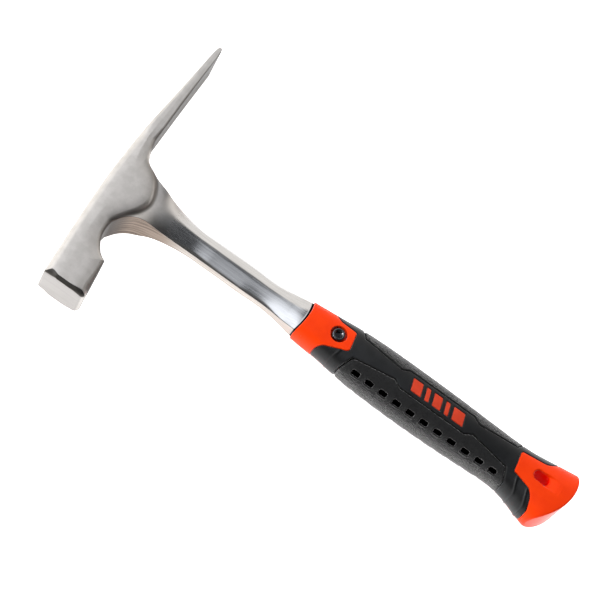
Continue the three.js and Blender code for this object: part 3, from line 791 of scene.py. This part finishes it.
def pad_field(side):
    """Field of the pad on the striking-face side (1), with relief slots, or on the chisel side (-1)."""
    def field(x, y, z):
        skin, y = envelope(x, y, z), side * y
        lip = 0.0
        if side == 1:
            flat, deep = rounded_slot(x, y, z)
            lip = LIP_HEIGHT * np.exp(-((flat - 0.75) / 0.4) ** 2) * (deep < SLOT_REACH)
        # distance from the slanted front edge of the pad
        from_front = (10 * (x - PAD_START_X) - 5.2 * (y + BAND_END_HALF)) / 11.27
        bevel = BEVEL_DEPTH * np.clip(1 - from_front / BEVEL_WIDTH, 0, 1)
        pad = both(skin - lip + bevel, pad_distance(x, y, PAD_GAP), 0.8)
        groove_floor = np.maximum(skin + PAD_GROOVE_DEPTH, pad_distance(x, y, PAD_FLOOR_GAP))
        pad = np.minimum(pad, groove_floor)
        pad = np.maximum(pad, -(skin + SKIN - GAP))
        if side == 1:
            slot = np.maximum(np.maximum(flat, deep - SLOT_REACH), -(skin + SLOT_DEPTH))
            pad = without(pad, slot, 0.3)
        return pad
    return field


PEBBLE_SIZE, PEBBLE_DEPTH, GRAINED_SKIN = 1.15, 0.11, 0.6


def pebbles(p):
    """Raised rounded grains: distance from the nearest cell border of scattered points, 0 to 1."""
    q = p / PEBBLE_SIZE
    base = np.floor(q).astype(np.int64)
    near = np.full((2, len(p)), 9.0)
    for i in (-1, 0, 1):
        for j in (-1, 0, 1):
            for k in (-1, 0, 1):
                c = base + (i, j, k)
                seed = (c[:, 0] * 73856093) ^ (c[:, 1] * 19349663) ^ (c[:, 2] * 83492791)
                jitter = np.stack([((seed * m) % 1009) / 1009 for m in (31, 57, 91)], axis=1)
                d = np.linalg.norm(c + jitter - q, axis=1)
                near = np.sort(np.concatenate([near, d[None]]), axis=0)[:2]
    return smoothstep(0.0, 0.45, near[1] - near[0])


def grained(mesh, field):
    """The pad's outer skin pushed in between its pebbles."""
    vertices, quads = mesh
    outer = envelope(*vertices.T) > -GRAINED_SKIN
    deep = PEBBLE_DEPTH * (pebbles(vertices) - 1)
    slope = gradient(field, vertices)
    slope /= np.maximum(np.linalg.norm(slope, axis=1, keepdims=True), 1e-6)
    return vertices + slope * (deep * outer)[:, None], quads


for side, name in ((1, "striking"), (-1, "chisel")):
    reach = sorted((-side * 20.0, -side * 2.0))
    pad = solid_mesh(pad_field(side), (162, 285), reach, (0, 15.5), 0.34)
    pad = grained(pad, pad_field(side))
    add_piece(f"soft_pad_{name}", pad, SOFT, "soft_black", f"soft_pad_{name}_side", painted_shade=hollow)


def inlay_field(side):
    """Field of the emblem on the upper side (1) or, turned over, on the lower side (-1)."""
    def field(x, y, z):
        skin, y, z = envelope(x, y, z), side * y, side * z
        bars = both(skin + 0.05, bars_distance(x, y), 0.2)
        bars = np.maximum(bars, BACKING_LOW - z)
        back = np.maximum(np.abs(x - BACKING_X) - BACKING_REACH, np.abs(y) - BACKING_HALF)
        back = np.maximum(back, np.maximum(BACKING_LOW - z, z - BACKING_HIGH))
        return np.minimum(bars, back)
    return field


for side, name in ((1, "top"), (-1, "bottom")):
    reach = sorted((side * 11.0, side * 15.0))
    inlay = solid_mesh(inlay_field(side), (204, 250), (-6, 6), reach, 0.25)
    add_piece(f"emblem_bars_{name}", inlay, EMBLEM, "orange_plastic", f"emblem_inlay_{name}")


# ---------------------------------------------------------------- butt cap

LANYARD_START_X, LANYARD_END_X, LANYARD_HALF = 293.8, 304.4, 3.4
SCOOP_LENGTH, SCOOP_DEPTH, SCOOP_HALF, SCOOP_MOUTH_Z = 7.1, 3.0, 4.9, 14.3


def cap_field(x, y, z):
    skin = envelope(x, y, z)
    cap = both(skin, outline_distance(CAP, x, y), 0.5)
    cap = both(cap, butt_distance(x, y), 0.9)
    cap = np.maximum(cap, -np.maximum(skin + SKIN - GAP, x - CORE_END_X - GAP))
    left, right = LANYARD_START_X + LANYARD_HALF, LANYARD_END_X - LANYARD_HALF
    slot = np.hypot(x - np.clip(x, left, right), y) - LANYARD_HALF
    cap = without(cap, slot, 0.7)
    along = (x - right) / (LANYARD_END_X + SCOOP_LENGTH - right)
    half = LANYARD_HALF - 0.2 + (SCOOP_HALF - LANYARD_HALF + 0.4) * smoothstep(-0.6, 0.35, along)
    fall = SCOOP_DEPTH * np.abs(1 - along) ** 1.25 * smoothstep(1.0, 0.55, np.abs(y) / half)
    ramp = both(np.abs(y) - half, np.maximum(left + 1.5 - x, x - LANYARD_END_X - SCOOP_LENGTH), 1.2)
    ramp = np.maximum(ramp, SCOOP_MOUTH_Z - fall - np.abs(z))
    return without(cap, ramp, 0.4)


cap = solid_mesh(cap_field, (280, 321.5), (-27, 24), (0, 15.5), 0.4)
add_piece("butt_cap_moulding", cap, ORANGE, "orange_plastic", "butt_cap", field=cap_field, painted_shade=deep_hollow)


# ---------------------------------------------------------------- screw and sleeve nut

SEAT = COUNTERBORE_FLOOR + GAP
HEAD_RADIUS, HEAD_TOP = 3.9, 11.7
SOCKET_RADIUS, SOCKET_DEPTH = 2.1, 1.9
SHANK_RADIUS, SHANK_END = 2.5, -6.4
SLEEVE_RADIUS, SLEEVE_TOP, SLEEVE_BORE_END = 3.5, 7.6, -7.2


def hexagon(x, y):
    apothem = SOCKET_RADIUS * math.cos(math.pi / 6)
    sides = [np.abs(x * math.cos(a) + y * math.sin(a)) for a in (0, math.pi / 3, 2 * math.pi / 3)]
    return np.maximum(np.maximum(sides[0], sides[1]), sides[2]) - apothem


def socket_head(x, y, z):
    """A round head between SEAT and HEAD_TOP, with a hexagon socket in its top."""
    across = np.hypot(x, y)
    head = both(across - HEAD_RADIUS, z - HEAD_TOP, 0.7)
    head = np.maximum(head, SEAT - z)
    countersink = (across - SOCKET_RADIUS - 0.5 + (HEAD_TOP - z)) * math.sqrt(0.5)
    socket = np.maximum(np.minimum(hexagon(x, y), countersink), HEAD_TOP - SOCKET_DEPTH - z)
    return without(head, socket, 0.12)


def screw_field(x, y, z):
    x = x - SCREW_X
    shank = np.maximum(np.hypot(x, y) - SHANK_RADIUS, np.maximum(SHANK_END - z, z - SEAT - 0.2))
    return np.minimum(socket_head(x, y, z), shank)


def nut_field(x, y, z):
    x = x - SCREW_X
    across = np.hypot(x, y)
    sleeve = np.maximum(across - SLEEVE_RADIUS, np.maximum(-SEAT - 0.2 - z, z - SLEEVE_TOP))
    body = np.minimum(socket_head(x, y, -z), sleeve)
    return np.maximum(body, -np.maximum(across - SHANK_RADIUS - GAP, SLEEVE_BORE_END - z))


screw = solid_mesh(screw_field, (154, 164), (-5, 5), (-7.5, 12), 0.16)
add_piece("socket_screw", screw, OXIDE, "black_steel", "locking_screw", field=screw_field)
nut = solid_mesh(nut_field, (154, 164), (-5, 5), (-12, 8.5), 0.16)
add_piece("sleeve_nut_body", nut, OXIDE, "black_steel", "sleeve_nut", field=nut_field)


# ---------------------------------------------------------------- floor, light and camera

def floor():
    n = new_material("pale_floor", (0.9, 0.9, 0.9))
    cloud = n.noise(n.place(), 0.004, 2, 0.5)
    colour = n.mix(cloud, (0.90, 0.90, 0.90, 1), (0.92, 0.92, 0.92, 1))
    material = n.finish(
        Base_Color=colour, Roughness=0.9, Specular_IOR_Level=0.1,
        Emission_Color=(1, 1, 1, 1), Emission_Strength=1.15,
    )
    mesh = bpy.data.meshes.new("floor")
    half, low = 12.0, -0.0003
    mesh.from_pydata([(-half, -half, low), (half, -half, low), (half, half, low), (-half, half, low)], [],
                     [(0, 1, 2, 3)])
    mesh.materials.append(material)
    plane = bpy.data.objects.new("floor", mesh)
    bpy.context.scene.collection.objects.link(plane)


def area_light(name, place, aim, size, power):
    data = bpy.data.lights.new(name, "AREA")
    data.shape, data.size, data.size_y = "RECTANGLE", size[0], size[1]
    data.energy = power
    light = bpy.data.objects.new(name, data)
    light.location = place
    light.rotation_mode = "QUATERNION"
    light.rotation_quaternion = (Vector(aim) - Vector(place)).to_track_quat("-Z", "Y")
    light.visible_camera = False
    bpy.context.scene.collection.objects.link(light)


def studio():
    """A ceiling that darkens towards the butt, a dark strip on each side of it, and bright walls."""
    world = bpy.data.worlds.new("studio")
    bpy.context.scene.world = world
    n = Nodes(world)
    direction = n.add("ShaderNodeTexCoord").outputs["Generated"]
    dx, dy, dz = n.add("ShaderNodeSeparateXYZ", {"Vector": direction}).outputs
    lean = n.maths("MULTIPLY", n.maths("ARCTAN2", dy, dz), 180 / math.pi)
    ceiling = n.ramp(dx, -0.15, 0.05, 1.5, 0.07)
    past_back = n.ramp(lean, 39, 47)
    back_band = n.maths("MULTIPLY", n.ramp(lean, 15, 27), n.ramp(dx, -0.10, -0.02))
    front_band = n.maths("MULTIPLY", n.ramp(lean, -42, -36, 1.0, 0.0), n.ramp(dx, -0.8, -0.55))
    past_front = n.ramp(lean, -88, -76, 1.0, 0.0)
    level = n.maths("MULTIPLY", ceiling, n.ramp(dx, 0.22, 0.5, 1.0, 0.5))
    level = n.maths("MULTIPLY", level, n.ramp(dx, -0.6, -0.22, 0.55, 1.0))
    for mask, value in ((back_band, 0.10), (past_back, 1.0), (front_band, 0.09), (past_front, 1.5)):
        node = n.add("ShaderNodeMix", {"Factor": mask, "A": level, "B": value})
        level = node.outputs[0]
    level = n.maths("MULTIPLY", level, n.ramp(dx, 0.7, 0.9, 1.3, 0.33))
    above = n.maths("MULTIPLY", n.ramp(lean, -44, -36), n.ramp(lean, 36, 44, 1.0, 0.0))
    tint = n.mix(above, (1.0, 0.98, 0.955, 1), (0.93, 0.98, 1.06, 1))
    sky = n.add("ShaderNodeBackground", {"Color": tint, "Strength": level})
    n.add("ShaderNodeOutputWorld", {"Surface": sky.outputs[0]})


floor()
studio()
area_light("left_softbox", (-1.5, -0.15, 1.0), (-0.05, 0, 0), (1.4, 1.2), 11)
area_light("front_left_lamp", (-1.25, -0.85, 0.66), (0, 0, 0), (0.35, 0.35), 6)

LOOK_AT = Vector((-0.0302, -0.0069, 0.0155))
DISTANCE = 1.45
ELEVATION = math.radians(62)
ROLL = math.radians(35.5)

camera_data = bpy.data.cameras.new("camera")
camera_data.sensor_width = 36.0
camera_data.lens = 152.6
camera_data.clip_start, camera_data.clip_end = 0.05, 60
camera = bpy.data.objects.new("camera", camera_data)
forward = Vector((0, math.cos(ELEVATION), -math.sin(ELEVATION)))
upward = Vector((0, math.sin(ELEVATION), math.cos(ELEVATION)))
across = Vector((1, 0, 0))
right = across * math.cos(ROLL) + upward * math.sin(ROLL)
up = upward * math.cos(ROLL) - across * math.sin(ROLL)
camera.matrix_world = (
    Matrix.Translation(LOOK_AT - forward * DISTANCE)
    @ Matrix((right, up, -forward)).transposed().to_4x4()
)
bpy.context.scene.collection.objects.link(camera)
bpy.context.scene.camera = camera

bpy.context.scene.view_settings.view_transform = "Standard"
bpy.context.scene.view_settings.look = "None"
